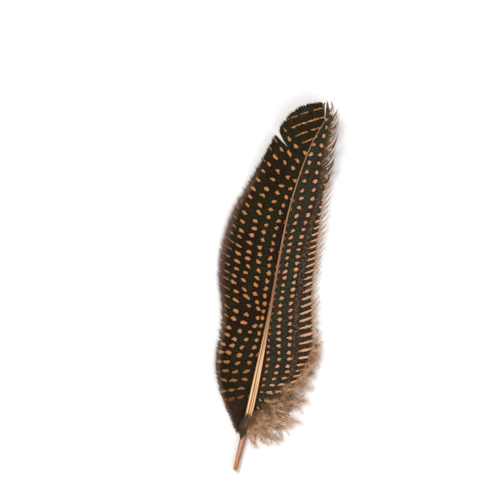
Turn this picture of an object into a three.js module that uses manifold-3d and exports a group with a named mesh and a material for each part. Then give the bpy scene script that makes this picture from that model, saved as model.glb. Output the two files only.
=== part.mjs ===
// A spotted wing feather, 167 mm from the cut end of its quill to its tip.
// It lies on its back: the grooved inner side of the shaft looks up (+Z), the tip points to +Y.
// It grew as one piece, so the shaft, the two vanes and the down at their foot are one solid.
// The vanes are broken into locks: bundles of barbs that lie over each other like shingles.
import * as THREE from "three";
import { mergeVertices } from "three/addons/utils/BufferGeometryUtils.js";
import Module from "manifold-3d";

// All sizes are in millimetres. Lengths along the feather start at the quill's cut end.
const SHAFT_LENGTH = 159;
const VANE_START = 23.5;
const MIDDLE = new THREE.Vector2(-3.49, 83.34); // the middle of the outline, which goes to the origin

// Along the shaft: [distance, value]
const SHAFT_SIDEWAYS = [
  [0, 0], [24, 0], [48, -0.8], [72, -2], [96, -3.7], [116, -4.6], [134, -3.8], [148, -2], [159, 1],
];
const SHAFT_WIDTH = [
  [0, 2], [12, 2.6], [24, 3.2], [41, 3.05], [62, 1.95], [80, 1.35], [115, 0.85], [159, 0.4],
];
const SHAFT_HEIGHT = [
  [0, 1.9], [12, 2.5], [24, 2.9], [41, 2.7], [70, 1.9], [100, 1.4], [130, 1], [159, 0.6],
];
const GROOVE_DEPTH = [[0, 0], [27, 0], [34, 0.16], [90, 0.16], [130, 0.1], [159, 0.05]];

// A vane.
// edge: where its barbs leave the shaft and the point of the edge that they reach, [root, x, y].
// reach: how far the free barb ends go on past that edge, [root, length].
// bend: half the angle that a barb turns towards the tip. camber: how far the edge curves up.
// splits: how far along their barbs the gaps before some locks begin, by the lock's number.
const LOCKS = 30;
const RIGHT = {
  side: 1,
  bend: 9,
  camber: 1.8,
  edge: [
    [23.5, 3, 12], [25, 8.5, 13.8], [27, 14, 18], [29.5, 17.6, 25.6], [32, 18, 33.5],
    [36, 16.5, 41.5], [41, 17.4, 46.8], [48, 19.6, 53.6], [55, 20, 62], [65, 16.8, 74],
    [77, 13.8, 86.2], [91, 11.9, 99.6], [111, 9.4, 120.6], [128, 7.4, 136.8], [144, 6.1, 153],
    [153, 5, 161], [157, 2.8, 165.2], [159, -0.1, 166.2],
  ],
  reach: [[23.5, 1], [30, 4], [38, 6.5], [48, 5], [60, 3], [77, 3.6], [111, 4.6], [144, 5], [159, 0.8]],
  splits: { 1: 0.45, 2: 0.4, 3: 0.6, 4: 0.75, 24: 0.75, 26: 0.6, 28: 0.7 },
};
const LEFT = {
  side: -1,
  bend: 17,
  camber: 2.4,
  edge: [
    [23.5, -3, 15.5], [26, -5.6, 19], [29, -9.2, 24], [32, -12.8, 29], [38, -16.6, 35.8],
    [45, -19.5, 43], [53, -20.8, 52], [62, -21.6, 62], [70, -24.2, 71], [80, -28.2, 82],
    [91, -30, 94], [105, -29.2, 110], [118, -25.2, 123.5], [130, -21.4, 136.5], [140, -18.3, 148],
    [148, -14.6, 157.6], [154, -9.6, 163], [158, -3.4, 165.8], [159, -0.9, 166.2],
  ],
  reach: [[23.5, 0.6], [40, 1.2], [100, 1], [130, 1.4], [159, 0.8]],
  splits: { 7: 0.85, 26: 0.4 },
};

const TIP_FAN = 14; // over this last length of the shaft the barbs turn less and less
const BARB_STEPS = 7; // from the shaft to the edge
const QUILL_STEPS = 12;
const QUILL_SIDES = 10;
const QUILL_INSET = 0.88; // the quill's upper end, as a share of the shaft that it grows into
const QUILL_OVERLAP = 2.5;
const THICKNESS = 0.42;
const EDGE_THINNING = 0.4; // the share of its thickness that a vane loses on the way to its edge
const ROOT_HEIGHT = 0.25; // the underside of the vane over the table, beside the shaft
const LOW_AT = 0.35; // the share of a barb's length where the vane comes down to the table
const TABLE_GAP = 0.02; // what the vane leaves there
const TIP_LIFT = { from: 104, height: 5 };
const QUILL_LIFT = { to: 20, height: 1.2 };
const WAVE = { height: 0.35, length: 31 };
const SAME_POINT = 1e-4; // corners closer than this are one corner

// The shaft's section, from its middle to its side: [share of the half width, share of the height]
const RIDGES = [[0, 1], [0.38, 1], [0.75, 0.93]];
const BACK_HEIGHT = [0, 0, 0.06]; // the same points on its underside
// Across a lock, from its quill side to its tip side: [share of its width, of the reach, of the rise].
// The lock comes to a point near its middle, and its quill side lies over the lock before it.
const LOCK = [[0, -0.25, 0], [0.1, 0.1, 1], [0.6, 1, 0.5]];
const SHINGLE_RISE = 0.16;

// A smooth curve through the points of a table, read at one distance
function profile(table) {
  const slope = (i) => {
    const before = table[Math.max(i - 1, 0)];
    const after = table[Math.min(i + 1, table.length - 1)];
    return (after[1] - before[1]) / (after[0] - before[0]);
  };
  return (distance) => {
    const held = THREE.MathUtils.clamp(distance, table[0][0], table.at(-1)[0]);
    const i = Math.max(0, table.findIndex((point) => point[0] >= held) - 1);
    const [[x0, y0], [x1, y1]] = [table[i], table[i + 1]];
    const span = x1 - x0;
    const t = (held - x0) / span;
    const ease = t * t * (3 - 2 * t);
    return y0 + (y1 - y0) * ease + span * t * (1 - t) * (slope(i) * (1 - t) - slope(i + 1) * t);
  };
}

const column = (rows, index) => profile(rows.map((row) => [row[0], row[index]]));
const shaftX = profile(SHAFT_SIDEWAYS);
const shaftWidth = profile(SHAFT_WIDTH);
const shaftHeight = profile(SHAFT_HEIGHT);
const grooveDepth = profile(GROOVE_DEPTH);

// The feather rests on the middle of its back, and bends up a little to the tip and the quill's end.
function lift(y) {
  const towardsTip = Math.max(0, y - TIP_LIFT.from) / (SHAFT_LENGTH - TIP_LIFT.from);
  const towardsQuill = Math.max(0, QUILL_LIFT.to - y) / QUILL_LIFT.to;
  return TIP_LIFT.height * towardsTip ** 2 + QUILL_LIFT.height * towardsQuill ** 2;
}

// A curved barb in plan: a parabola that leaves the shaft at along = 0 and meets the edge at along = 1
function barb(from, to, turn) {
  const chord = to.clone().sub(from);
  const knee = chord.rotateAround(new THREE.Vector2(), turn).divideScalar(2 * Math.cos(turn)).add(from);
  return (along) =>
    from
      .clone()
      .multiplyScalar((1 - along) ** 2)
      .addScaledVector(knee, 2 * along * (1 - along))
      .addScaledVector(to, along ** 2);
}

// How high the underside of a vane lies over the table
function underside(camber, root, y, along) {
  const fromShaft = ROOT_HEIGHT * Math.max(0, 1 - along / LOW_AT) ** 2;
  const curve = camber * Math.max(0, along - LOW_AT) ** 2;
  const swell = WAVE.height * along ** 4 * (1 + Math.sin((2 * Math.PI * root) / WAVE.length));
  return TABLE_GAP + fromShaft + curve + swell + lift(y);
}

// One vane as a function: line counts its rows from the quill, share runs from the shaft to the barb's end
function vane({ side, bend, camber, edge, reach, splits }) {
  const [edgeX, edgeY, reachAt] = [column(edge, 1), column(edge, 2), column(reach, 1)];
  return (line, share, top) => {
    const root = rootOf(line);
    const turn = -side * THREE.MathUtils.degToRad(bend) * Math.min(1, (SHAFT_LENGTH - root) / TIP_FAN);
    const [, reachShare, riseShare] = LOCK[line % LOCK.length];
    const from = new THREE.Vector2(shaftX(root) + (side * shaftWidth(root)) / 2, root);
    const to = new THREE.Vector2(edgeX(root), edgeY(root));
    const split = line % LOCK.length === 0 && splits[line / LOCK.length];
    const along = share * (split || 1 + (reachShare * reachAt(root)) / from.distanceTo(to));
    const at = barb(from, to, turn)(along);
    const shingle = SHINGLE_RISE * riseShare * Math.min(1, 2 * along);
    const up = top * (THICKNESS * (1 - EDGE_THINNING * along) + shingle);
    return new THREE.Vector3(at.x, at.y, underside(camber, root, at.y, along) + up);
  };
}

// Where a row of the plate crosses the shaft
function rootOf(line) {
  const [share] = LOCK[line % LOCK.length];
  const lock = Math.floor(line / LOCK.length) + share;
  return VANE_START + (lock * (SHAFT_LENGTH - VANE_START)) / LOCKS;
}

// The stem between the vanes, across its back from one side to the other
function stem(line, across, top) {
  const y = rootOf(line);
  const step = Math.abs(across);
  const [sideways, height] = RIDGES[step];
  const groove = across === 0 ? grooveDepth(y) : 0;
  const share = top ? height - groove : BACK_HEIGHT[step];
  const x = shaftX(y) + (Math.sign(across) * sideways * shaftWidth(y)) / 2;
  return new THREE.Vector3(x, y, share * shaftHeight(y) + lift(y));
}

// The vanes and the stem are one flat plate, bent so that its rows follow the barbs.
function blade() {
  const columns = 2 * (BARB_STEPS + RIDGES.length);
  const rows = LOCKS * LOCK.length;
  const plate = new THREE.BoxGeometry(columns, rows, 1, columns, rows, 1).translate(0, rows / 2, 0.5);
  const [left, right] = [vane(LEFT), vane(RIGHT)];
  const place = plate.getAttribute("position");
  for (let i = 0; i < place.count; i++) {
    const [across, line, top] = [place.getX(i), place.getY(i), place.getZ(i)].map(Math.round);
    const share = (Math.abs(across) - RIDGES.length) / BARB_STEPS;
    const at = share < 0 ? stem(line, across, top) : (across < 0 ? left : right)(line, share, top);
    place.setXYZ(i, at.x, at.y, at.z);
  }
  return plate;
}

// The bare quill, a round tube end that grows into the stem
function quill() {
  const length = VANE_START + QUILL_OVERLAP;
  const tube = new THREE.CylinderGeometry(1, 1, length, QUILL_SIDES, QUILL_STEPS);
  tube.translate(0, length / 2, 0);
  const place = tube.getAttribute("position");
  for (let i = 0; i < place.count; i++) {
    const y = place.getY(i);
    const inset = 1 - (1 - QUILL_INSET) * Math.min(1, y / VANE_START);
    const sideways = (inset * place.getX(i) * shaftWidth(y)) / 2;
    const up = ((1 - inset * place.getZ(i)) * shaftHeight(y)) / 2;
    place.setXYZ(i, shaftX(y) + sideways, y, up + lift(y));
  }
  return tube;
}

const wasm = await Module();
wasm.setup();

function solid(geometry) {
  const bare = geometry.clone();
  bare.deleteAttribute("normal");
  bare.deleteAttribute("uv");
  const merged = mergeVertices(bare, SAME_POINT);
  const triVerts = new Uint32Array(merged.index.array);
  const vertProperties = merged.attributes.position.array;
  return new wasm.Manifold(new wasm.Mesh({ numProp: 3, vertProperties, triVerts }));
}

function geometryOf(joined) {
  const mesh = joined.getMesh();
  const geometry = new THREE.BufferGeometry();
  geometry.setAttribute("position", new THREE.BufferAttribute(mesh.vertProperties, 3));
  geometry.setIndex(new THREE.BufferAttribute(mesh.triVerts, 1));
  geometry.computeVertexNormals();
  return geometry;
}

const feather = new THREE.Mesh(
  geometryOf(solid(blade()).add(solid(quill()))),
  new THREE.MeshStandardMaterial({ color: 0x3a2c20, roughness: 0.7, metalness: 0 }),
);
feather.name = "feather";
feather.position.set(-MIDDLE.x, -MIDDLE.y, 0);

const group = new THREE.Group();
group.add(feather);
export default group;
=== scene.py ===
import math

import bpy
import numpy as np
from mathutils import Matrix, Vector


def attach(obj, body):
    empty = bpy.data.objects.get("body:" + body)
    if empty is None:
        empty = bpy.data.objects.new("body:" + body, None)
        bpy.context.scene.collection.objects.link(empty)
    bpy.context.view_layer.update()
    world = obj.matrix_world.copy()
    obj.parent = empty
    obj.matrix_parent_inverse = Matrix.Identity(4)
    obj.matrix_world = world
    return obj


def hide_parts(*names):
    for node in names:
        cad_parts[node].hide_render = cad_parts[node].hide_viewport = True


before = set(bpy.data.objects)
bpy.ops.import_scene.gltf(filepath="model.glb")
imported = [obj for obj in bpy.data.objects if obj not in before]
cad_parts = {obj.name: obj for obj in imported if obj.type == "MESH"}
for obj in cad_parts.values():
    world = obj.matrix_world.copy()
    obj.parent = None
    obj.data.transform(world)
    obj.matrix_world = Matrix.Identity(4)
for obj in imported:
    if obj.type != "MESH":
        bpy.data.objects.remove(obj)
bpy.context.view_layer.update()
# %% [markdown]
# A spotted wing feather lies on its back on a pale table. It is one horny shaft with two vanes,
# and a vane is nothing but hundreds of barbs side by side, hooked into each other by hairs too
# fine to see. A flat leaf with a picture of a feather on it would look right from above only, so
# every barb is made as a real ribbon here, and the markings are worked out from where each barb
# leaves the shaft, the way they grow.

MM = 0.001  # shapes are worked out in millimetres, and Blender holds metres
chance = np.random.default_rng(71)

# %% [markdown]
# The feather has a length axis of its own: y counts from the cut end of the quill to the tip, and
# x goes from the narrow left side to the right. A handful of sizes measured along that axis says
# everything about its outline, and a smooth curve through them fills in the rest. They are the
# sizes that the solid was made from.

# %% The shaft's course and section
SHAFT_LENGTH = 159
VANE_START = 23.5
MIDDLE = (-3.49, 83.34)  # the middle of the whole outline, which lies at the origin
SHAFT_SIDEWAYS = [  # y, and the x of the shaft's middle
    (0, 0), (24, 0), (48, -0.8), (72, -2), (96, -3.7), (116, -4.6), (134, -3.8), (148, -2), (159, 1)]
SHAFT_WIDTH = [(0, 2), (12, 2.6), (24, 3.2), (41, 3.05), (62, 1.95), (80, 1.35), (115, 0.85), (159, 0.4)]
SHAFT_HEIGHT = [(0, 1.9), (12, 2.5), (24, 2.9), (41, 2.7), (70, 1.9), (100, 1.4), (130, 1), (159, 0.6)]


def profile(rows, column=1):
    """A smooth curve through a table's rows, which can be read at any distance or array of distances."""
    x = np.array([row[0] for row in rows], float)
    y = np.array([row[column] for row in rows], float)
    inner = (y[2:] - y[:-2]) / (x[2:] - x[:-2])
    first, last = (y[1] - y[0]) / (x[1] - x[0]), (y[-1] - y[-2]) / (x[-1] - x[-2])
    slope = np.concatenate([[first], inner, [last]])

    def read(distance):
        held = np.clip(distance, x[0], x[-1])
        i = np.clip(np.searchsorted(x, held) - 1, 0, len(x) - 2)
        span = x[i + 1] - x[i]
        t = (held - x[i]) / span
        bulge = span * t * (1 - t) * (slope[i] * (1 - t) - slope[i + 1] * t)
        return y[i] + (y[i + 1] - y[i]) * t * t * (3 - 2 * t) + bulge

    return read


shaft_x, shaft_width, shaft_height = (profile(t) for t in (SHAFT_SIDEWAYS, SHAFT_WIDTH, SHAFT_HEIGHT))
print("the shaft is", round(float(shaft_width(24)), 2), "mm wide where the vanes begin")

# %% [markdown]
# A feather isn't flat. It rests on the middle of its back, bends up a little towards the tip and
# the quill, and each vane dips from the shaft to the table and curls up again at its edge. That
# height is one formula for the whole feather, so that barbs, down and shaft agree about where the
# surface is.

# %% How high everything lies
ROOT_HEIGHT = 0.25  # the vane's underside over the table, beside the shaft
LOW_AT = 0.35  # the share of a barb's length where the vane comes down to the table
TABLE_GAP = 0.02
TIP_FROM, TIP_RISE = 104, 5
QUILL_TO, QUILL_RISE = 20, 1.2
WAVE_HEIGHT, WAVE_LENGTH = 0.35, 31


def lift(y):
    """How far the whole feather has left the table at y."""
    towards_tip = np.maximum(0, y - TIP_FROM) / (SHAFT_LENGTH - TIP_FROM)
    towards_quill = np.maximum(0, QUILL_TO - y) / QUILL_TO
    return TIP_RISE * towards_tip**2 + QUILL_RISE * towards_quill**2


def underside(camber, root, y, along):
    """The height of a vane's lower face. along is 0 at the shaft and 1 at the vane's edge."""
    from_shaft = ROOT_HEIGHT * np.maximum(0, 1 - along / LOW_AT) ** 2
    curl = camber * np.maximum(0, along - LOW_AT) ** 2
    swell = WAVE_HEIGHT * along**4 * (1 + np.sin(2 * np.pi * root / WAVE_LENGTH))
    return TABLE_GAP + from_shaft + curl + swell + lift(y)


print("the tip lies", round(float(lift(SHAFT_LENGTH)), 1), "mm over the table")

# %% [markdown]
# Each vane is told by the line that its barbs' ends draw. The right one is the narrow, trailing
# one, with long free ends that make a fringe. The left one is broad and ends in a clean line.
# Columns of spots run along the feather at steady distances from the shaft, so those distances
# belong to the vane's description too.

# %% The two vanes
RIGHT = {
    "side": 1, "bend": 9, "camber": 1.8, "flick": 0.9,
    "edge": [  # where a barb leaves the shaft, and the x and y of the edge that it reaches
        (23.5, 3, 12), (25, 8.5, 13.8), (27, 14, 18), (29.5, 17.6, 25.6), (32, 18, 33.5),
        (36, 16.5, 41.5), (41, 17.4, 46.8), (48, 19.6, 53.6), (55, 20, 62), (65, 16.8, 74),
        (77, 13.8, 86.2), (91, 11.9, 99.6), (111, 9.4, 120.6), (128, 7.4, 136.8), (144, 6.1, 153),
        (153, 5, 161), (157, 2.8, 165.2), (159, -0.1, 166.2)],
    "reach": [
        (23.5, 1), (30, 4), (38, 6.5), (48, 5), (60, 3), (77, 3.6), (111, 4.6), (144, 5), (159, 0.8)],
    "splits": {  # lock: (how far along its barbs the gap before it begins, how wide it ends)
        21: (0.88, 0.8), 23: (0.84, 1.0), 24: (0.74, 1.4), 25: (0.84, 0.9), 26: (0.66, 1.7),
        27: (0.8, 1.0), 28: (0.68, 1.7), 29: (0.75, 1.0)},
    "closed_to": 0.93,
    "rows": [
        (23.5, 3.1), (44, 3.0), (60, 2.8), (70, 3.1), (104, 3.0), (113, 3.5), (122, 4.1), (159, 4.4)],
    "first_row": 44.7,
    "lean": [(40, 0), (66, 0), (90, 0.1), (104, 0.33), (116, 0.5), (128, 0.62), (159, 0.7)],
    "columns": [  # [root, the hidden column at the shaft, first, second, start of the bars]
        (23.5, 2, 4.2, 8, 11), (34, 2.3, 5.6, 9.4, 13), (44, 2.2, 6.8, 11.6, 15),
        (52, 2, 6.7, 11.3, 14.7), (60, 0.9, 5.3, 10.4, 14), (66, 0.4, 4.5, 9.5, 13.1),
        (74, 0.35, 3.7, 8.6, 12.9), (90, 0.35, 3.5, 8.2, 12.6), (104, 0.3, 3.4, 8.4, 13.4),
        (116, 0.3, 4.1, 10, 15.2), (126, 0.3, 3.5, 9.2, 14.2), (135, 0.1, 2.8, 8.1, 12.4),
        (144, -1.5, 1.5, 6.4, 10.4), (152, -3, 0.2, 5, 8.4), (159, -4, -1.5, 2, 4.5)],
}
LEFT = {
    "side": -1, "bend": 17, "camber": 2.4, "flick": 0.3,
    "edge": [
        (23.5, -3, 15.5), (26, -5.6, 19), (29, -9.2, 24), (32, -12.8, 29), (38, -16.6, 35.8),
        (45, -19.5, 43), (53, -20.8, 52), (62, -21.6, 62), (70, -24.2, 71), (80, -28.2, 82),
        (91, -30, 94), (105, -29.2, 110), (118, -25.2, 123.5), (130, -21.4, 136.5), (140, -18.3, 148),
        (148, -14.6, 157.6), (154, -9.6, 163), (158, -3.4, 165.8), (159, -0.9, 166.2)],
    "reach": [(23.5, 0.6), (40, 1.2), (100, 1), (130, 1.4), (159, 0.8)],
    "splits": {7: (0.85, 1.2), 26: (0.4, 2.2)},
    "closed_to": 0.97,
    "rows": [
        (23.5, 4), (40, 4), (50, 3.4), (60, 3.2), (76, 3.4), (100, 3.3), (112, 3.4), (124, 4),
        (159, 4.5)],
    "first_row": 45,
    "lean": [(23.5, 0.2), (44, 0.2), (62, 0), (76, -0.2), (90, -0.12), (105, 0), (159, 0)],
    "columns": [  # [root, hidden column, first, second, third, fourth, fifth, sixth]
        (23.5, -1, 2.5, 6, 9, 12, 15, 18), (36, 0.3, 4.4, 9, 13.2, 17, 20.5, 24),
        (43, 0.3, 4, 8.7, 13.4, 17.2, 20.6, 24), (50, 0.3, 3.6, 8.7, 13.6, 17.4, 20.8, 24),
        (58, 0.3, 2.5, 7.6, 12.4, 16.4, 19.8, 23), (66, 0.3, 1.9, 4.4, 9.3, 14.6, 18.4, 21.8),
        (72, 0.3, 1.9, 4.4, 9.2, 15, 19.4, 23.4), (77, 0.3, 2.8, 6.6, 11.2, 16, 20.4, 24.6),
        (82, 0.3, 3, 7.6, 13, 17.7, 21.6, 25.6), (90, 0.3, 3.1, 7.8, 12.9, 18, 22.4, 26.2),
        (98, 0.3, 3.6, 8.6, 13.6, 18.8, 23, 26.6), (112, 0.3, 3.1, 7.9, 12.9, 18.8, 22.8, 26),
        (124, 0, 2.2, 6.5, 11.8, 17, 21, 25), (132, -2, 0.3, 4.1, 9, 13.8, 18, 22),
        (140, -5, -2, 2.2, 6.8, 11.4, 15.6, 20), (148, -8, -4.5, -0.5, 4.2, 8.6, 13, 17.5),
        (159, -12, -8, -4, 0, 3.5, 7, 11)],
}
LOCKS = 30  # bundles of barbs that hold together
TIP_FAN = 14  # over this last length of the shaft the barbs turn less and less
for vane in (RIGHT, LEFT):
    print("side", vane["side"], "has", len(vane["edge"]), "edge points and gaps at", list(vane["splits"]))

# %% [markdown]
# A barb is a parabola: it leaves the shaft, bends towards the tip and runs out past the vane's
# edge. Where a gap has opened in the vane, its neighbours lean away to both sides, and free ends
# lean together into little tufts. Both are done by reading the same smooth surface a little
# further up or down the shaft.

# %% The surface that the barbs follow
LOCK_LENGTH = (SHAFT_LENGTH - VANE_START) / LOCKS
SPLIT_SPREAD = 5.5  # how far from a gap the barbs still lean, along the shaft
FULLY_OPEN = 1.05  # the share of a barb's length at which a gap has its width
BARB_FOOT = 0.42  # where barbs leave the shaft, as a share of its width from the middle
VANE_MIDDLE = 0.2  # half way up the vane's thickness, in mm over its underside
FLICK_FROM = 0.93  # the share of a barb's length after which it turns towards the tip
SHINGLE_RISE = 0.09
SHINGLE = [(0, 0), (0.12, 1), (0.6, 0.5), (1, 0)]  # across a lock: what share of that rise it has
CURVES = {"edge_x": ("edge", 1), "edge_y": ("edge", 2), "reach_at": ("reach", 1),
          "row_length": ("rows", 1), "lean_at": ("lean", 1)}


def prepared(vane):
    """The vane's tables as curves."""
    return {**vane, **{name: profile(vane[table], column) for name, (table, column) in CURVES.items()}}


RIGHT, LEFT = prepared(RIGHT), prepared(LEFT)


def ends_of(vane, root):
    """The point where a barb leaves the shaft and the point where it passes the edge."""
    start = np.stack([shaft_x(root) + vane["side"] * shaft_width(root) * BARB_FOOT, root + 0 * root], -1)
    return start, np.stack([vane["edge_x"](root), vane["edge_y"](root)], -1)


def turned_by(angle, vectors):
    """Vectors in the plane, turned anticlockwise."""
    x, y, cos, sin = vectors[..., 0], vectors[..., 1], np.cos(angle), np.sin(angle)
    return np.stack([x * cos - y * sin, x * sin + y * cos], -1)


def surface(vane, root, along, home=None):
    """Points in mm on the middle of the vane's thickness. home says on which side of a gap a barb grew."""
    leaning = root + 0 * along
    home = leaning if home is None else home
    for lock, (begins, width) in vane["splits"].items():
        offset = home - (VANE_START + lock * LOCK_LENGTH)
        opened = np.clip((along - begins) / (FULLY_OPEN - begins), 0, 1.3) ** 1.4
        leaning = leaning + np.sign(offset) * width / 2 * opened * np.exp(-np.abs(offset) / SPLIT_SPREAD)
    start, end = ends_of(vane, leaning)
    turn = -vane["side"] * np.radians(vane["bend"]) * np.minimum(1, (SHAFT_LENGTH - leaning) / TIP_FAN)
    reach = end - start
    knee = start + turned_by(turn, reach) / (2 * np.cos(turn))[..., None]
    a = (along + 0 * leaning)[..., None]
    flat = (1 - a) ** 2 * start + 2 * a * (1 - a) * knee + a**2 * end
    towards_tip = vane["side"] * np.stack([-reach[..., 1], reach[..., 0]], -1)
    flat = flat + vane["flick"] * np.maximum(0, a - FLICK_FROM) ** 2 * towards_tip
    share = ((leaning - VANE_START) / LOCK_LENGTH) % 1
    shingle = SHINGLE_RISE * np.interp(share, *zip(*SHINGLE)) * np.minimum(1, 2 * a[..., 0])
    height = underside(vane["camber"], leaning, flat[..., 1], a[..., 0]) + VANE_MIDDLE + shingle
    return np.concatenate([flat, height[..., None]], -1)


print("a lock is", round(LOCK_LENGTH, 2), "mm of shaft")

# %% [markdown]
# Everything on this feather is long and thin: barbs, down, barbules and the shaft itself. One
# builder makes them all. It takes the middle lines, the directions across and up, and a small
# cross-section, and joins the closed strips into one mesh from arrays. Each strip gets its own
# place in the texture map, side by side and never stacked, so that colours can be baked later.

# %% One builder for every strip
def unit(vectors):
    return vectors / np.maximum(np.linalg.norm(vectors, axis=-1, keepdims=True), 1e-9)


def strips(name, middle, across, up, section, attributes, map_rows=1):
    """Closed strips. middle, across and up are (strip, step, 3) in mm, section is (..., corner, 2)."""
    count, steps = middle.shape[:2]
    section = np.broadcast_to(section, (count, steps) + np.shape(section)[-2:])
    corners = section.shape[2]
    points = middle[:, :, None] + section[..., :1] * across[:, :, None] + section[..., 1:] * up[:, :, None]
    places = (points.reshape(-1, 3) - np.array([*MIDDLE, 0])) * MM
    index = np.arange(count * steps * corners).reshape(count, steps, corners)
    after = np.roll(index, -1, axis=2)
    sides = np.stack([index[:, :-1], after[:, :-1], after[:, 1:], index[:, 1:]], -1).reshape(-1, 4)
    caps = np.concatenate([index[:, 0, ::-1], index[:, -1]])
    mesh = bpy.data.meshes.new(name)
    loops = np.concatenate([sides.ravel(), caps.ravel()])
    sizes = np.concatenate([np.full(len(sides), 4), np.full(len(caps), corners)])
    mesh.vertices.add(len(places))
    mesh.vertices.foreach_set("co", places.astype(np.float32).ravel())
    mesh.loops.add(len(loops))
    mesh.loops.foreach_set("vertex_index", loops.astype(np.int32))
    mesh.polygons.add(len(sizes))
    mesh.polygons.foreach_set("loop_start", (np.cumsum(sizes) - sizes).astype(np.int32))
    mesh.polygons.foreach_set("use_smooth", np.full(len(sizes), True))
    mesh.update(calc_edges=True)
    for label, values in attributes.items():
        values = np.asarray(values, float)
        values = values if values.ndim == 3 else values[:, :, None]
        spread = np.broadcast_to(values, (count, steps, corners)).astype(np.float32)
        mesh.attributes.new(label, "FLOAT", "POINT").data.foreach_set("value", spread.ravel())
    place_in_map(mesh, count, steps, corners, map_rows)
    mesh.validate()
    piece = bpy.data.objects.new(name, mesh)
    bpy.context.scene.collection.objects.link(piece)
    print(name, "has", count, "strips and", len(mesh.loops) - 2 * len(mesh.polygons), "triangles")
    return piece


CELL_SHARE = 0.92  # how much of its cell in the map a strip's sides fill
CAP_PLACES, CAP_HEIGHT, CAP_RADIUS = (0.95, 0.98), 0.96, 0.02  # where in the cell the end faces go


def place_in_map(mesh, count, steps, corners, map_rows):
    """Gives each strip a cell of the map: its sides beside each other, and its length upwards."""
    per_row = math.ceil(count / map_rows)
    strip, step, corner = np.indices((count, steps - 1, corners))
    right, upper = np.array([0, 1, 1, 0]), np.array([0, 0, 1, 1])
    s = (strip % per_row)[..., None] + CELL_SHARE * (corner[..., None] + right) / corners
    t = (strip // per_row)[..., None] + CELL_SHARE * (step[..., None] + upper) / (steps - 1)
    sides = np.stack([s / per_row, t / map_rows], -1).reshape(-1, 2)
    angle = 2 * np.pi * np.arange(corners) / corners
    ring = np.stack([np.cos(angle), np.sin(angle)], -1) * CAP_RADIUS
    both = np.tile(np.arange(count), 2)
    end = np.repeat(CAP_PLACES, count)
    centre = np.stack([(both % per_row + end) / per_row, (both // per_row + CAP_HEIGHT) / map_rows], -1)
    caps = (centre[:, None] + ring / [per_row, map_rows]).reshape(-1, 2)
    layer = mesh.uv_layers.new(name="OFBake")
    layer.data.foreach_set("uv", np.concatenate([sides, caps]).astype(np.float32).ravel())


# %% [markdown]
# A barb's section is a low ridge with a thin wing on both sides: the ridge is its rib, the wings
# are its hooked barbules. The wing on the quill's side lies over the neighbour and the other one
# is tucked under, as shingles do. Past the vane's edge nothing holds the wings open, so only a
# thread is left.

# %% Where a barb ends, and its frame
RIB = np.array([(-1, 0.045), (-0.24, 0.035), (0, 0.1), (0.24, 0.02), (1, -0.045), (0, -0.07)])
TUFT = [(0, -0.1), (0.1, 0.2), (0.6, 1), (1, 0)]  # across a lock: how much further its ends reach
BROKEN = [(120, 0.02), (140, 0.35), (155, 0.5)]  # along the shaft: what share of the right ends is lost
STEP = 0.05  # for measuring the surface's slopes, in mm of shaft


def noise_of(shape, low=-1.0, high=1.0):
    return chance.uniform(low, high, shape)


def smooth_noise(position, length, seed, spread=1.0):
    """A gentle random curve that changes over about that length."""
    own = np.random.default_rng(seed)
    knots = np.arange(-2, 400 / length)
    return profile(list(zip(knots * length, own.uniform(-spread, spread, len(knots)))))(position)


def barb_ends(vane, root):
    """How far along each barb ends: past the edge, in tufts, with some ends broken off."""
    start, end = ends_of(vane, root)
    chord = np.linalg.norm(end - start, axis=-1)
    share = ((root - VANE_START) / LOCK_LENGTH) % 1
    tuft = np.interp(share, *zip(*TUFT))
    free = vane["reach_at"](root) * (0.35 * tuft + noise_of(len(root), 0.35, 1.1))
    broken = noise_of(len(root), 0, 1) < np.interp(root, *zip(*BROKEN)) * (vane["side"] > 0)
    free = np.where(broken, -chord * noise_of(len(root), 0.0, 0.22), free)
    return 1 + free / chord


def frame_of(vane, root, along):
    """The middle line with its directions along, across and up, and how far apart barbs lie there."""
    home = root[:, :1]
    middle = surface(vane, root, along, home)
    forward = unit(np.gradient(middle, axis=1))
    before, after = (surface(vane, root + step, along, home) for step in (-STEP, STEP))
    side_step = (after - before) / (2 * STEP)
    up = unit(np.cross(forward, side_step)) * vane["side"]
    across = unit(np.cross(up, forward)) * vane["side"]
    apart = np.abs((side_step * across).sum(-1))
    return middle, forward, across, up, apart


print("a barb's section has", len(RIB), "corners")

# %% [markdown]
# The markings were laid down in the growing barb, so they are told by rows and columns and not by
# places on the table. Each point of a barb carries the number of its row and column with a
# fraction, worked out here once, and the material reads them like coordinates. The tables above
# say how wide the rows and columns are and how the rows lean.

# %% Rows and columns of the markings
COLUMN_MARKS = {1: [-1, 0, 1, 2, 2.5, 3.5, 4.5], -1: [-1, 0, 1, 2, 3, 4, 5, 6, 7]}
SPECKLED = 0.42  # where the peppered band lies between the second column and the bars
GRID_STEP = 0.5  # mm of shaft for adding up the rows


def columns_of(vane, root, out, full):
    """Which column of spots a point is in, and how many mm a whole column takes there."""
    places = np.stack([profile(vane["columns"], c)(root) for c in range(1, len(vane["columns"][0]))], -1)
    if vane["side"] > 0:
        hidden, first, second, bars = np.moveaxis(places, -1, 0)
        bars = np.minimum(bars, full * 0.9)
        second = np.minimum(second, bars - 1.5)
        speckled = second + SPECKLED * (bars - second)
        knots = [hidden - 4, hidden, first, second, speckled, bars, np.maximum(full, bars + 1)]
    else:
        knots = [places[:, 0] - 4, *np.moveaxis(places, -1, 0), places[:, -1] + 4]
    marks, knots = COLUMN_MARKS[vane["side"]], np.stack(knots, -1)
    column, pitch = np.empty_like(out), np.empty_like(out)
    for i, (here, edges) in enumerate(zip(out, knots)):
        column[i] = np.interp(here, edges, marks)
        width = np.diff(edges) / np.diff(marks)
        pitch[i] = width[np.clip(np.searchsorted(edges, here) - 1, 0, len(width) - 1)]
    return column, pitch


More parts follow.
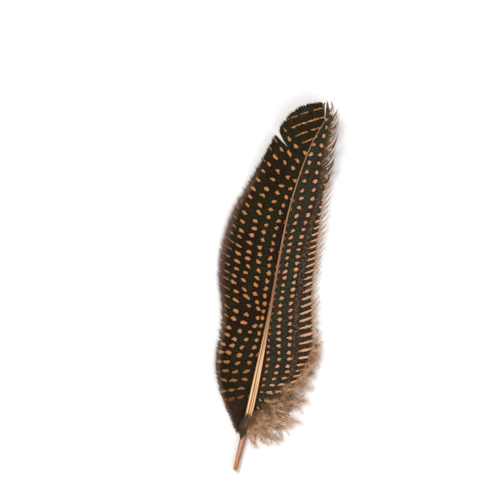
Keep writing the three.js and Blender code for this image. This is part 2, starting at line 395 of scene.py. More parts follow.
def rows_of(vane, root, column):
    """The number of the row of spots that a point is in, with a fraction."""
    grid = np.arange(VANE_START, SHAFT_LENGTH + 1, GRID_STEP)
    counted = np.concatenate([[0], np.cumsum(GRID_STEP / vane["row_length"](grid[:-1]))])
    counted -= np.interp(vane["first_row"], grid, counted)
    return np.interp(root, grid, counted) + vane["lean_at"](root) * np.clip(column - 1, 0, 3)


for vane in (RIGHT, LEFT):
    lowest, highest = (rows_of(vane, y, 1) for y in (VANE_START, SHAFT_LENGTH))
    print("side", vane["side"], "has", int(highest - lowest), "rows of markings")

# %% [markdown]
# Now the barbs of a whole vane can be made in one go, as rows of arrays. Up to a certain share of
# its length a barb is hooked to its neighbours and the ribbons overlap. From there on it is free:
# its end leans to the nearest row of markings, as the ends of the real one do, and narrows to a
# thread. The lowest barbs of the right vane have no hooks at all and sway.

# %% The vanes
BARB_STEPS = 23
BARB_SPACING = 0.33
OVERLAP = 1.5  # how much wider a barb is than its share of the vane
WIDEST, THREAD = 0.34, 0.075  # half widths of a barb's ribbon, hooked and free
HOOKED_FROM, HOOKED_OVER, HOOKED_MORE = 120, 14, 0.6  # from this root the right barbs hook further out
DOWNY_TO, DOWNY_OVER = 32, 5  # up to this root the right barbs have no hooks
LOOSENS_OVER, OPENS_OVER = 0.25, 0.09  # over what share of its length a free barb leans, and narrows
TO_ROW, ANYHOW = 0.5, 0.4  # how far free ends lean to their row, and to any side in mm
SWAY, SWAY_LENGTH, WANDER = 0.8, 1.7, 0.24  # how far downy barbs sway together, and each alone, in mm
PAST_EDGE = 1.2  # how far the outermost marks go past the vane's edge
RIPPLE, RIPPLE_LENGTH, RIPPLE_ALONE = 0.07, 7, 0.03  # how far barbs stand up or down, in mm


def where_barbs_lie(vane, root, along, seed):
    """Where on the surface every point lies, where its barb comes free, and how downy it is."""
    right, single = vane["side"] > 0, (len(root), 1)
    at_tip = np.clip((root[:, None] - HOOKED_FROM) / HOOKED_OVER, 0, 1)
    closed = vane["closed_to"] + HOOKED_MORE * at_tip * right
    loose = np.clip((along - closed) / LOOSENS_OVER, 0, 1)
    row = rows_of(vane, root[:, None], 4.0)
    tuft = (np.round(row) - row) * vane["row_length"](root)[:, None]
    downy = np.clip((DOWNY_TO - root[:, None]) / DOWNY_OVER, 0, 1) * np.clip(along * 3 - 0.4, 0, 1) * right
    wander = noise_of(single) + np.sin(along * noise_of(single, 6, 14) + 9 * root[:, None])
    together = smooth_noise(root, SWAY_LENGTH, seed + 20, SWAY)[:, None] * along**2
    sway = (together + WANDER * wander * along) * downy
    leant = root[:, None] + np.zeros_like(along) + loose * (TO_ROW * tuft + ANYHOW * noise_of(single)) + sway
    return leant, closed, downy


def section_of(apart, ends, along, bare):
    """The barb's section at every point. bare is 1 where only its thread is left."""
    half = np.minimum(0.5 * apart * BARB_SPACING * OVERLAP, WIDEST)
    half = half + (THREAD - half) * bare
    tip = np.clip((ends[:, None] - along) / 0.1, 0.12, 1)
    half = half * tip
    height = np.clip(half / 0.25, 0.35, 1) * tip**0.5
    return np.stack([RIB[:, 0] * half[..., None], RIB[:, 1] * height[..., None]], -1)


def make_vane(name, vane, seed):
    """All the barbs of one vane in one mesh, with what the markings need to know at every point."""
    root = np.arange(VANE_START + 0.4, SHAFT_LENGTH - 0.1, BARB_SPACING)
    root = root + noise_of(len(root), -0.06, 0.06)
    ends = barb_ends(vane, root)
    along = np.linspace(0, 1, BARB_STEPS) * ends[:, None]
    leant, closed, downy = where_barbs_lie(vane, root, along, seed)
    middle, forward, across, up, apart = frame_of(vane, leant, along)
    free = np.clip((along - closed) / OPENS_OVER, 0, 1)
    section = section_of(apart, ends, along, np.maximum(free, downy))
    ripple = smooth_noise(root, RIPPLE_LENGTH, seed, RIPPLE)[:, None] * along**0.5
    ripple = ripple + RIPPLE_ALONE * noise_of((len(root), 1)) * along
    middle = middle + up * ripple[..., None]
    pace = np.linalg.norm(np.diff(middle, axis=1), axis=-1)
    out = np.concatenate([np.zeros((len(root), 1)), np.cumsum(pace, 1)], 1)
    full = np.array([np.interp(1, a, o) for a, o in zip(along, out)]) + PAST_EDGE
    column, pitch = columns_of(vane, root, out, full)
    row = rows_of(vane, root[:, None], column)
    marks = {"row": row, "column": column, "pitch": pitch, "root": root[:, None], "out": out,
             "along": along, "free": free, "barb": np.arange(len(root))[:, None]}
    piece = strips(name, middle, across, up, section, marks, map_rows=4)
    barbs = {"middle": middle, "forward": forward, "across": across, "up": up, "root": root, "along": along}
    return piece, barbs


right_vane, right_barbs = make_vane("right_vane", RIGHT, 3)
left_vane, left_barbs = make_vane("left_vane", LEFT, 4)

# %% [markdown]
# Down is the same thing without hooks. A few soft barbs at the foot of the right vane and round
# the top of the quill carry fine barbules that stand off on both sides, and so do the free ends
# of the lowest fringe. Each barbule is a three-sided hair, because hair curves and particles
# wouldn't be part of the finished mesh.

# %% Barbules, and the fluff on the fringe
HAIR = np.array([(1, 0), (-0.5, 0.87), (-0.5, -0.87)])
ON_TABLE = 0.08  # the lowest that the middle of a hair may lie
TOWARDS_FOOT = 1.25  # over 1, barbules stand closer together at the foot of their barb
FRINGE_HAIR, DOWN_HAIR = 0.027, 0.021  # how thick barbules are, from the middle to a corner


def hairs(name, start, direction, up, length, thickness, attributes):
    """Short bent hairs that start at the points given."""
    steps = np.array([0, 0.55, 1])
    aside = unit(np.cross(direction, up))
    sag = noise_of((len(start), 1, 1), -0.3, 0.3) * (steps**2)[None, :, None]
    curl = noise_of((len(start), 1, 1), -0.35, 0.35) * (steps**2)[None, :, None]
    bent = direction[:, None] * steps[None, :, None] + up[:, None] * sag + aside[:, None] * curl
    line = start[:, None] + length[:, None, None] * bent
    across = np.broadcast_to(aside[:, None], line.shape)
    over = np.broadcast_to(up[:, None], line.shape)
    line[..., 2] = np.maximum(line[..., 2], ON_TABLE)
    taper = np.array([1, 0.7, 0.2])
    section = HAIR * (thickness * taper)[None, :, None, None]
    return strips(name, line, across, over, section, attributes, map_rows=64)


def barbules(barbs, chosen, begins, ends, per_barb, length, fan):
    """Where barbules stand on the chosen barbs: start, direction, up, length, share of the barb."""
    picked = np.repeat(np.flatnonzero(chosen), per_barb)
    along = begins + (ends - begins) * noise_of(len(picked), 0, 1) ** TOWARDS_FOOT
    at = along * (barbs["along"].shape[1] - 1)
    low = np.clip(np.floor(at).astype(int), 0, barbs["along"].shape[1] - 2)
    share = (at - low)[:, None]
    read = {k: barbs[k][picked, low] * (1 - share) + barbs[k][picked, low + 1] * share
            for k in ("middle", "forward", "across", "up")}
    turn = np.radians(noise_of(len(picked), *fan)) * chance.choice([-1, 1], len(picked))
    rise = noise_of(len(picked), -0.25, 0.5)
    direction = (read["forward"] * np.cos(turn)[:, None] + read["across"] * np.sin(turn)[:, None]
                 + read["up"] * rise[:, None])
    long = length * noise_of(len(picked), 0.4, 1.0)
    return read["middle"], unit(direction), read["up"], long, along


def fluff_on(barbs, zones):
    """The barbules of several stretches of a vane, joined."""
    root = barbs["root"]
    parts = [barbules(barbs, (root > low) & (root < high), *rest) for low, high, *rest in zones]
    return [np.concatenate(column) for column in zip(*parts)]


FLUFF = [  # from root, to root, starts along, ends along, hairs a barb, their length, fan in degrees
    (23, 32, 0.15, 1.0, 235, 1.9, (25, 85)),
    (32, 38, 0.5, 1.0, 85, 1.7, (20, 75)),
    (38, 52, 0.86, 1.0, 40, 1.7, (20, 65)),
    (52, 72, 0.86, 1.0, 20, 1.3, (15, 55)),
    (72, 159, 0.88, 1.0, 8, 0.9, (10, 40)),
]
place, direction, over, long, outer = fluff_on(right_barbs, FLUFF)
marks = {"tint": noise_of((len(place), 1), 0, 1), "outer": outer[:, None]}
fringe = hairs("fringe_down", place, direction, over, long, FRINGE_HAIR, marks)

# %% [markdown]
# The down proper grows from the back of the shaft, just over the quill, and between the lowest
# barbs. Its barbs have a course of their own: each sets out in some direction, wanders, and sinks
# to the table. They come in tufts, so the table below says for each tuft how many there are,
# where they start and where they head. The finest, the wisps, carry few barbules and make the
# haze around the foot.

# %% Soft barbs
SOFT_STEPS = 12
DOWN_EDGE = 24.6  # the x that no soft barb goes past
LOWEST = 0.15  # mm over the table
STEM, WISP_STEM = 0.04, 0.026  # how thick soft barbs are, from the middle to a corner


def soft_barbs(count, root, along, heading, length, sag, seed):
    """Soft barbs in a tuft. They start on the right vane, or on the shaft's back where along is 0."""
    own = np.random.default_rng(seed)
    y0 = own.uniform(*root, count)
    start = surface(RIGHT, y0, own.uniform(*along, count))
    if along[1] == 0:
        start[:, 0] = shaft_x(y0) + own.uniform(0.0, 0.45, count) * shaft_width(y0)
        start[:, 2] = shaft_height(y0) * own.uniform(0.6, 1.02, count)
    t = np.linspace(0, 1, SOFT_STEPS)
    bend = own.uniform(-40, 40, (count, 1)) * t
    bend = bend + 28 * np.sin(own.uniform(4, 9, (count, 1)) * t + 7 * y0[:, None])
    turn = np.radians(own.uniform(*heading, (count, 1)) + bend)
    pace = length * own.uniform(0.45, 1, (count, 1)) / SOFT_STEPS
    course = np.cumsum(np.stack([np.cos(turn), np.sin(turn)], -1) * pace[..., None], axis=1)
    outward = np.maximum(course[..., 0].max(1), 1e-6)
    course = course * np.minimum(1, (DOWN_EDGE - start[:, 0]) / outward)[:, None, None]
    rise = own.uniform(0.1, 0.9, (count, 1)) * np.sin(np.pi * t * 0.8) - sag * t**2
    height = np.maximum(start[:, 2:] + rise, LOWEST)
    middle = np.concatenate([start[:, None, :2] + course, height[..., None]], -1)
    forward = unit(np.gradient(middle, axis=1))
    across = unit(np.cross([0.0, 0.0, 1.0], forward))
    return {"middle": middle, "forward": forward, "across": across, "up": np.cross(forward, across),
            "root": y0, "along": t + 0 * y0[:, None]}


TUFTS = [  # count, roots, where they start along the barbs, headings in degrees, length, sag, seed
    (26, (22.5, 25), (0, 0), (-82, -20), 8.5, 1.6, 31),
    (7, (21, 24), (0, 0), (-104, -68), 5.5, 1.2, 32),
    (20, (24, 28), (0, 0), (-46, 2), 10.5, 1.4, 33),
    (32, (25, 34), (0.15, 0.75), (-48, 8), 9, 0.3, 34),
    (36, (33, 48), (0.76, 1.06), (-22, 28), 9.5, 0.3, 35),
    (12, (44, 56), (0.9, 1.05), (5, 50), 5, 0.3, 36),
]
WISPS = [
    (80, (22, 28), (0, 0), (-98, -14), 14, 1.4, 37),
    (40, (26, 36), (0.5, 0.95), (-60, 10), 10, 0.3, 38),
    (36, (36, 62), (0.85, 1.05), (-25, 45), 9.5, 0.3, 39),
]


def make_down(name, rows, per_barb, thickness=STEM):
    """One mesh of soft barbs and one of the barbules on them."""
    tufts = [soft_barbs(*row) for row in rows]
    tuft = {k: np.concatenate([t[k] for t in tufts]) for k in tufts[0]}
    taper = np.linspace(1, 0.3, SOFT_STEPS)
    stem_section = HAIR * (thickness * taper)[None, :, None, None]
    marks = {"tint": noise_of((len(tuft["root"]), 1), 0, 1), "outer": tuft["along"]}
    directions = (tuft[k] for k in ("middle", "across", "up"))
    stems = strips(name + "_stems", *directions, stem_section, marks, map_rows=4)
    every = tuft["root"] > 0
    place, direction, over, long, outer = barbules(tuft, every, 0.1, 1.0, per_barb, 1.8, (15, 70))
    marks = {"tint": noise_of((len(place), 1), 0, 1), "outer": outer[:, None]}
    return stems, hairs(name, place, direction, over, long, DOWN_HAIR, marks)


down_pieces = [fringe, *make_down("down", TUFTS[:4], 125), *make_down("down_edge", TUFTS[4:], 120),
               *make_down("down_wisps", WISPS, 16, WISP_STEM)]

# %% [markdown]
# At the foot of the vanes a last bundle of stiff dark barbs lies over the top of the quill and
# ends in a point. They are ribbons like the vane's own, laid on the round of the quill in a few
# layers.

# %% The dark point over the quill
COLLAR = {"count": 60, "steps": 14, "foot": (20.5, 26.5), "point": (-0.9, 13.4), "over": 0.2, "half": 0.16}
COLLAR_SIDES = (-1.35, 0.75)  # how far round the quill it goes, in half widths of the quill


def make_collar():
    own = np.random.default_rng(51)
    count = COLLAR["count"]
    t = np.linspace(0, 1, COLLAR["steps"])
    side = np.linspace(*COLLAR_SIDES, count) + own.uniform(-0.1, 0.1, count)
    foot = own.uniform(*COLLAR["foot"], count) - 1.5 * np.abs(side)
    start = np.stack([side * shaft_width(foot) / 2, foot], -1)
    reach = own.uniform(0.55, 1.0, count)[:, None]
    end = np.array(COLLAR["point"]) + np.stack([side * 0.25, own.uniform(-0.4, 0.8, count)], -1)
    end = start + (end - start) * reach
    bow = np.stack([side * 0.9, np.zeros(count)], -1)[:, None] * (np.sin(np.pi * t) ** 1.2)[None, :, None]
    flat = start[:, None] + (end - start)[:, None] * t[None, :, None] + bow
    x, y = flat[..., 0], flat[..., 1]
    from_middle = np.clip(np.abs(x - shaft_x(y)) / (shaft_width(y) / 2), 0, 1.35)
    top = shaft_height(y) * (0.5 + 0.5 * np.sqrt(np.clip(1 - (from_middle / 1.36) ** 2, 0, 1)))
    height = top + lift(y) + COLLAR["over"] * own.uniform(0.4, 1.5, (count, 1)) * np.minimum(1, 4 * t)
    middle = np.stack([x, y, height], -1)
    forward = unit(np.gradient(middle, axis=1))
    across = unit(np.cross([0.0, 0.0, 1.0], forward))
    up = np.cross(forward, across)
    half = COLLAR["half"] * (1 - 0.85 * t**2)[None, :, None]
    section = np.stack([RIB[:, 0] * half, RIB[:, 1] * (0.5 + 0 * half)], -1)
    return strips("quill_collar", middle, across, up, section,
                  {"root": y, "along": t[None] + 0 * reach, "barb": np.arange(count)[:, None]})


collar = make_collar()

# %% [markdown]
# The shaft is a round horn tube up to the vanes and a squarish beam with a groove from there on.
# It is one skin: the section starts inside the open end of the quill, turns over the rim and then
# runs up to the tip, where it is no thicker than a hair. Its corners stay the same all the way,
# so the groove can grow out of the round tube.

# %% Shaft
SHAFT_CORNERS = 36
HOLE_DEPTH, WALL = 7, 0.22
ROUND_TO, GROOVED_FROM = 22, 29
GROOVE, GROOVE_HALF = 0.12, 0.34  # its depth and half width, as shares of the shaft's height and half width
SQUARE = 0.55  # the power that makes a circle squarish
HOLE_RINGS, QUILL_RINGS, BEAM_RINGS = 8, 40, 230


def shaft_section(y, round_share, shrink):
    """Corners of the section at y, as (x from the middle, height over the section's bottom)."""
    angle = 2 * np.pi * np.arange(SHAFT_CORNERS) / SHAFT_CORNERS
    cos, sin = np.cos(angle), np.sin(angle)
    power = SQUARE + (1 - SQUARE) * round_share
    x = np.sign(cos) * np.abs(cos) ** power
    z = np.sign(sin) * np.abs(sin) ** power
    top = np.clip(sin * 3, 0, 1)
    z = z - 2 * GROOVE * (1 - round_share) * top * np.exp(-((x / GROOVE_HALF) ** 2))
    half_width, half_height = shaft_width(y) / 2 - shrink, shaft_height(y) / 2 - shrink
    return np.stack([x * half_width, z * half_height], -1)


def make_shaft():
    inner = np.linspace(HOLE_DEPTH, 0.05, HOLE_RINGS)
    quill = np.linspace(0.12, ROUND_TO, QUILL_RINGS)
    outer = np.concatenate([[0.0], quill, np.linspace(ROUND_TO + 0.4, SHAFT_LENGTH, BEAM_RINGS)])
    y = np.concatenate([inner, outer])
    shrink = np.concatenate([np.full(len(inner), WALL), [0.07], np.zeros(len(outer) - 1)])
    shrink[0] += 0.35
    round_share = np.interp(y, [ROUND_TO, GROOVED_FROM], [1, 0])
    section = np.stack([shaft_section(*row) for row in zip(y, round_share, shrink)])[None]
    middle = np.stack([shaft_x(y), y, lift(y) + shaft_height(y) / 2], -1)[None]
    across = np.broadcast_to([1.0, 0.0, 0.0], middle.shape)
    up = np.broadcast_to([0.0, 0.0, 1.0], middle.shape)
    half = np.maximum(np.abs(section[..., 0]).max(-1, keepdims=True), 1e-6)
    tall = np.maximum(np.abs(section[..., 1]).max(-1, keepdims=True), 1e-6)
    inside = (np.arange(len(y)) < len(inner)).astype(float)[None]
    marks = {"root": y[None], "across": section[..., 0] / half, "over": section[..., 1] / tall,
             "inside": inside}
    return strips("shaft", middle, across, up, section, marks)


shaft = make_shaft()

# %% [markdown]
# Materials are node graphs, and a graph reads best as arithmetic. The small class below wraps a
# socket, so that adding or multiplying two of them places the Math node. Everything else, from
# noise to colour mixing, comes from one method that is told the node's type, its settings and
# what goes into its sockets. Colours are laid over each other like paint, each through a mask.

# %% Shader arithmetic
class Wire:
    """A value on its way through a material."""

    def __init__(self, finish, socket):
        self.finish, self.socket = finish, socket

    def maths(self, operation, *values):
        return self.finish.node("ShaderNodeMath", {"operation": operation}, dict(enumerate(values)))

    def __add__(self, other):
        return self.maths("ADD", self, other)

    def __sub__(self, other):
        return self.maths("SUBTRACT", self, other)

    def __rsub__(self, other):
        return self.maths("SUBTRACT", other, self)

    def __mul__(self, other):
        return self.maths("MULTIPLY", self, other)

    def __truediv__(self, other):
        return self.maths("DIVIDE", self, other)

    def __pow__(self, other):
        return self.maths("POWER", self, other)

    __radd__, __rmul__ = __add__, __mul__

    def floor(self):
        return self.maths("FLOOR", self)

    def size(self):
        return self.maths("ABSOLUTE", self)

    def larger(self, other):
        return self.maths("MAXIMUM", self, other)

    def smaller(self, other):
        return self.maths("MINIMUM", self, other)

    def ramp(self, low, high, start=0.0, end=1.0):
        """Runs softly from start to end while the value goes from low to high."""
        ends = {0: self, 1: low, 2: high, 3: start, 4: end}
        return self.finish.node("ShaderNodeMapRange", {"interpolation_type": "SMOOTHSTEP"}, ends)


class Finish:
    """One material. Plain numbers go straight to the shader's own sockets."""

    def __init__(self, name, **plain):
        self.material = bpy.data.materials.new(name)
        self.material.use_nodes = True
        self.tree = self.material.node_tree
        self.shader = self.tree.nodes["Principled BSDF"]
        for label, value in plain.items():
            self.shader.inputs[label.replace("_", " ")].default_value = value

    def node(self, kind, settings=None, inputs=None, output=0):
        made = self.tree.nodes.new(kind)
        for label, value in (settings or {}).items():
            setattr(made, label, value)
        for key, value in (inputs or {}).items():
            if isinstance(value, Wire):
                self.tree.links.new(value.socket, made.inputs[key])
            else:
                made.inputs[key].default_value = value
        return Wire(self, made.outputs[output])

    def read(self, name):
        return self.node("ShaderNodeAttribute", {"attribute_name": name}, output="Fac")

    def vector(self, x, y, z=0.0):
        return self.node("ShaderNodeCombineXYZ", None, {0: x, 1: y, 2: z})

    def noise(self, where, scale, detail=2.0):
        inputs = {"Vector": where, "Scale": scale, "Detail": detail}
        return self.node("ShaderNodeTexNoise", None, inputs, "Fac")

    def dice(self, where):
        """Three random numbers that stay the same over a cell."""
        settings = {"noise_dimensions": "3D"}
        colour = self.node("ShaderNodeTexWhiteNoise", settings, {"Vector": where}, "Color")
        split = self.node("ShaderNodeSeparateColor", None, {0: colour})
        return [Wire(self, socket) for socket in split.socket.node.outputs]

    def mix(self, share, low, high):
        return self.node("ShaderNodeMix", {"data_type": "RGBA"}, {0: share, 6: low, 7: high}, 2)

    def layers(self, colour, *layers):
        """Lays colours over the first one, each where its mask says."""
        for mask, paint in layers:
            colour = self.mix(mask, colour, paint)
        return colour

    def feed(self, **wires):
        for label, wire in wires.items():
            self.tree.links.new(wire.socket, self.shader.inputs[label.replace("_", " ")])
        print(self.material.name, "has", len(self.tree.nodes), "nodes")
        return self.material


def rgb(red, green, blue):
    return (red, green, blue, 1.0)


# %% [markdown]
# The markings grow: a pale row is laid down while the whole barb passes through the skin, so one
# row runs along neighbouring barbs, and columns lie at steady distances from the shaft. The
# material therefore works in rows and columns. It finds the nearest crossing, moves it a little
# by a random number of its own, and measures how far the point is from it. Every barb stops its
# colour a hair earlier or later, which makes the rims ragged.

# %% Where the spots are
ROW_MM = 3.1  # a usual distance between rows
BESIDE_SHAFT_TO, BARS_FROM, STREAKS_FROM = (0.4, 0.6), (3.4, 3.6), (4.4, 4.8)  # in columns
NEAR_FOOT = (56.0, 66.0)  # in mm of shaft, as are all the stretches below


def crossing_of(finish, side):
    """The nearest crossing of a row and a column, with six random numbers of its own."""
    row, column = finish.read("row"), finish.read("column")
    cell_row, cell_column = (row + 0.5).floor(), (column + 0.5).floor()
    luck = finish.dice(finish.vector(cell_row, cell_column, side * 7.0))
    more_luck = finish.dice(finish.vector(cell_row, cell_column, side * 7.0 + 3.5))
    return row - cell_row, column - cell_column, luck + more_luck


def zones_of(finish, side, sizes):
    """Masks for the bars, the marks beside the shaft, the foot, and the streaks at the left rim."""
    root, column = finish.read("root"), finish.read("column")
    foot = 1 - root.ramp(*sizes["foot"])
    zones = {"bar": column.ramp(*BARS_FROM), "hidden": 1 - column.ramp(*BESIDE_SHAFT_TO), "foot": foot,
             "near_foot": 1 - root.ramp(*NEAR_FOOT)}
    if side < 0:
        zones["streak"] = (column + foot * 1.1).ramp(*STREAKS_FROM)
    return zones


# %% [markdown]
# At the tip of the wide vane the rows give way to thin broken lines that cross the barbs. They
# keep a steady distance from each other, so the same trick works with one number in place of two:
# the place along the shaft and the place along the barb are added up, and the nearest whole step
# is a line.

# %% The thin lines at the tip
# "root" is the stretch of shaft over which they take over, and "half" is half a line's height.
TIP_LINES = {"root": (143.0, 147.0), "lean": 0.82, "first": 127.6, "apart": 4.2, "half": 0.29}


def tip_lines(finish, root, out, warp, ragged):
    """How far a point is from the middle of the nearest thin line, where 1 is the rim."""
    onto = (out + root * TIP_LINES["lean"] - TIP_LINES["first"]) / TIP_LINES["apart"] + warp * 0.3
    line = (onto + 0.5).floor()
    gaps = finish.noise(finish.vector(root * 0.3, line * 5.0, 60.0), 1.0, 1.0).ramp(0.4, 0.46, 3.0, 0.0)
    return ((onto - line).size() * TIP_LINES["apart"] + ragged * 0.2) / TIP_LINES["half"] + gaps


print("the tip's lines lie", TIP_LINES["apart"], "mm apart, and the rows of spots", ROW_MM)

# %% [markdown]
# A spot is an ellipse around its crossing, as high and long as its column asks for, and bent and
# slanted a little by its own random numbers. In the bars of the narrow vane it is long and low,
# and at the foot all of them are lower and longer. Where a mark is only a share of the way from
# one shape to the other, the two are mixed by a mask.

# %% How far every point is from its spot
UNDER_SHAFT = 0.45  # half the length of the marks that hide beside the shaft, in mm
STREAK = 0.27  # half the height of the streaks at the left rim, in mm
WARP_UP, WARP_OUT, RAGGED = 0.8, 1.1, 0.6  # how far rims wander both ways and from barb to barb, in mm
SLANT = BOW = 0.4  # how much a spot may slant and bow
SMALLER = (98.0, 134.0)  # towards the tip the spots get lower


def spots_of(finish, side, sizes):
    """How far a point is from the middle of its spot, where 1 is the rim, and what it needs besides."""
    column, pitch, root, out, barb = (finish.read(n) for n in ("column", "pitch", "root", "out", "barb"))
    rows_off, columns_off, (aside, onward, luck, slant, bulk, bow) = crossing_of(finish, side)
    zones = zones_of(finish, side, sizes)
    bar, hidden, foot, near_foot = (zones[n] for n in ("bar", "hidden", "foot", "near_foot"))
    ragged = finish.dice(finish.vector((barb + 0.5).floor(), side * 3.0, 1.0))[0] - 0.5
    warp = finish.noise(finish.vector(root, out, side * 40.0), 0.9) - 0.5
    warp_2 = finish.noise(finish.vector(root, out, side * 40.0 + 11.0), 0.9) - 0.5
    stray = column.ramp(1.0, 3.5, *sizes["stray"]) * (1 - bar if side > 0 else 1 - bar * 0.3)
    out_mm = columns_off * pitch + (onward - 0.5) * stray
    up_mm = rows_off * ROW_MM + (aside - 0.5) * stray + warp * WARP_UP
    bent = out_mm * (slant - 0.5) * SLANT + out_mm.size() * (bow - 0.4) * BOW
    up_mm = up_mm + bent * (1 - bar)
    out_mm = out_mm + warp_2 * WARP_OUT + ragged * RAGGED
    high = column.ramp(1.0, 4.0, *sizes["high"]) * (0.84 + 0.28 * bulk)
    high = high * root.ramp(*SMALLER, 1.0, sizes["tip"])
    high = high + foot * (sizes["foot_high"] - high)
    long = column.ramp(1.0, 4.0, *sizes["long"]) * (0.82 + 0.34 * luck)
    long = long * (1 + sizes["foot_growth"] * foot)
    if side > 0:
        high = high + bar * (sizes["bar_high"] - high)
        long = long + bar * (pitch * sizes["bar_share"] - long)
    else:
        high = high - zones["streak"] * (high - STREAK)
        long = (long + zones["streak"] * 0.3).smaller(pitch * 0.4)
    long = long - hidden * (long - UNDER_SHAFT - near_foot * 0.25)
    away = ((up_mm / high) ** 2.0 + (out_mm / long) ** 2.0) ** 0.5
    if side < 0:
        away = away + root.ramp(*TIP_LINES["root"]) * (tip_lines(finish, root, out, warp_2, ragged) - away)
    missing = luck.ramp(*sizes["missing"]) * hidden * (1 - near_foot if side > 0 else 1.0)
    return {"away": away + missing, "column": column, "bulk": bulk, **zones}


# %% [markdown]
# Between the spots the vane is nearly black, brown in some large patches and olive in others, and
# each barb has a strength of its own. The olive patches are a painted sheen, and towards the tip
# that painted sheen covers the whole ground. A still darker ring lies round each spot, and fine
# pepper fills the gap between spots and bars. Dye shows in the pale parts only, so the ground
# keeps the colour that it had on the bird.

# %% The dark ground
RING = rgb(0.006, 0.004, 0.003)
SHADE = 0.45  # how dark a dark barb is, as a share of the ground's own colour
# where the painted olive sheen takes over the whole ground at the tip, in mm of shaft
OLIVE_SHEEN_TIP = (136.0, 146.0)


def ground_of(finish, side, look, at, strand, strand_2):
    """The colour between the spots."""
    root, out = finish.read("root"), finish.read("out")
    dark = rgb(*[c * SHADE for c in look["ground"][:3]])
    specks = finish.noise(finish.vector(root * 2.4 + strand * 30.0, out * 1.5, side * 9.0), 1.0, 1.0)
    pepper = specks.ramp(0.52, 0.62) * (0.15 + 0.75 * at["peppered"])
    # olive patches: a painted sheen laid over the dark ground, and over all of it at the tip
    patches = finish.noise(finish.vector(root * 0.05, out * 0.11, side * 40.0), 1.0, 2.0).ramp(0.46, 0.53)
    lay = finish.noise(finish.vector(root * 1.1, out * 0.12, side * 5.0), 1.0, 3.0)
    return finish.layers(
        look["ground"], (patches.larger(root.ramp(*OLIVE_SHEEN_TIP)), look["olive"]),
        (lay.ramp(0.35, 0.65) * 0.5, dark), (strand_2 * 0.55, dark),
        (at["ring"] * 0.8, RING), (pepper, look["pepper"]))


# %% [markdown]
# The spots were white on the bird and took the dye: copper on the wide vane, a paler peach on the
# narrow one, and paler still in its bars. They are deepest at their rims and beside the shaft.
# Light comes through the free barb ends, so they are sandy, with the colour of the bar that they
# continue.

# %% The dyed spots and the edges
BAR, BESIDE_SHAFT, AT_FOOT = rgb(0.88, 0.5, 0.3), rgb(0.5, 0.16, 0.04), rgb(0.37, 0.14, 0.04)
BARB_BROWN = rgb(0.36, 0.15, 0.05)
FRINGE = {"plain": rgb(0.4, 0.22, 0.12), "marked": rgb(0.8, 0.42, 0.2), "strand": rgb(0.66, 0.42, 0.26)}
LEFT_RIM = {"plain": rgb(0.15, 0.085, 0.065), "marked": rgb(0.5, 0.27, 0.18)}
WORN_BROWN = rgb(0.3, 0.16, 0.075)
DOWNY = {"inner": rgb(0.1, 0.05, 0.025), "outer": rgb(0.34, 0.17, 0.085)}
DULL_SPOTS, RIM_ENDS, WORN_TIP = (38.0, 62.0), (118.0, 132.0), (118.0, 142.0)


def paint_of(finish, side, look, at, strand_3):
    """The colour of the spots and bars."""
    low = [((1 - finish.read("root").ramp(*DULL_SPOTS)) * 0.85, AT_FOOT)] if side < 0 else []
    return finish.layers(
        look["spot"], (at["bulk"], look["spot_warm"]), (at["bar"] * look["pale_bars"], BAR),
        (at["hidden"] * 0.7, BESIDE_SHAFT), *low,
        (at["away"].ramp(0.45, 1.0) * 0.6, look["rim"]), (strand_3 * 0.28, BARB_BROWN))


def edges_of(finish, side, colour, at, strands):
    """Lays the free barb ends, the worn edge and the downy foot over the vane's colour."""
    root, along, mark = finish.read("root"), finish.read("along"), at["mark"]
    fringe_paint = finish.layers(
        FRINGE["plain"], (mark, FRINGE["marked"]), (strands[2] * 0.4, FRINGE["strand"]))
    if side < 0:
        share = along.ramp(0.84, 0.97) * (1 - root.ramp(*RIM_ENDS)) * (1 - at["downy"])
        edge = finish.mix(mark + strands[1].ramp(0.75, 1.0) * 0.4, LEFT_RIM["plain"], LEFT_RIM["marked"])
    else:
        share = root.ramp(*WORN_TIP) * along.ramp(0.65, 1.0) * strands[0].ramp(0.2, 0.7) * (1 - mark * 0.6)
        edge = WORN_BROWN
    return finish.layers(
        colour, (finish.read("free").ramp(0.3, 1.0), fringe_paint), (share * 0.85, edge),
        (at["downy"] * 0.75, finish.mix(along, DOWNY["inner"], DOWNY["outer"])))


# %% [markdown]
# Both vanes share one recipe and differ in a table of sizes and colours. Inside the speckled
# band, in the down and in the lowest rows the spots fade, as the real ones do. The surface is
# dull, with a very fine grain along the barbs.

# %% Both vanes' finishes
# "olive" is the colour of the painted sheen on the dark ground
RIGHT_LOOK = {
    "ground": rgb(0.045, 0.033, 0.024), "olive": rgb(0.041, 0.048, 0.026),
    "pepper": rgb(0.25, 0.14, 0.065),
    "spot": rgb(0.72, 0.36, 0.185), "spot_warm": rgb(0.8, 0.43, 0.235), "rim": rgb(0.6, 0.25, 0.1),
    "pale_bars": 0.7, "downy": 1.0,
    "sizes": {"stray": (0.35, 0.4), "high": (0.82, 0.94), "long": (1.0, 1.15), "foot": (35.0, 44.0),
              "foot_high": 0.5, "foot_growth": 0.8, "bar_high": 0.6, "bar_share": 0.5, "tip": 0.84,
              "missing": (0.7, 0.8)}}
LEFT_LOOK = {
    "ground": rgb(0.026, 0.0125, 0.0055), "olive": rgb(0.027, 0.027, 0.008),
    "pepper": rgb(0.12, 0.07, 0.035),
    "spot": rgb(0.62, 0.265, 0.085), "spot_warm": rgb(0.66, 0.32, 0.12), "rim": rgb(0.4, 0.145, 0.038),
    "pale_bars": 0.0, "downy": 0.12,
    "sizes": {"stray": (0.4, 1.0), "high": (0.94, 0.64), "long": (0.88, 1.45), "foot": (38.0, 54.0),
              "foot_high": 0.5, "foot_growth": 1.1, "tip": 0.68, "missing": (0.3, 0.5)}}
GRAIN_DEPTH = 0.00006  # in metres
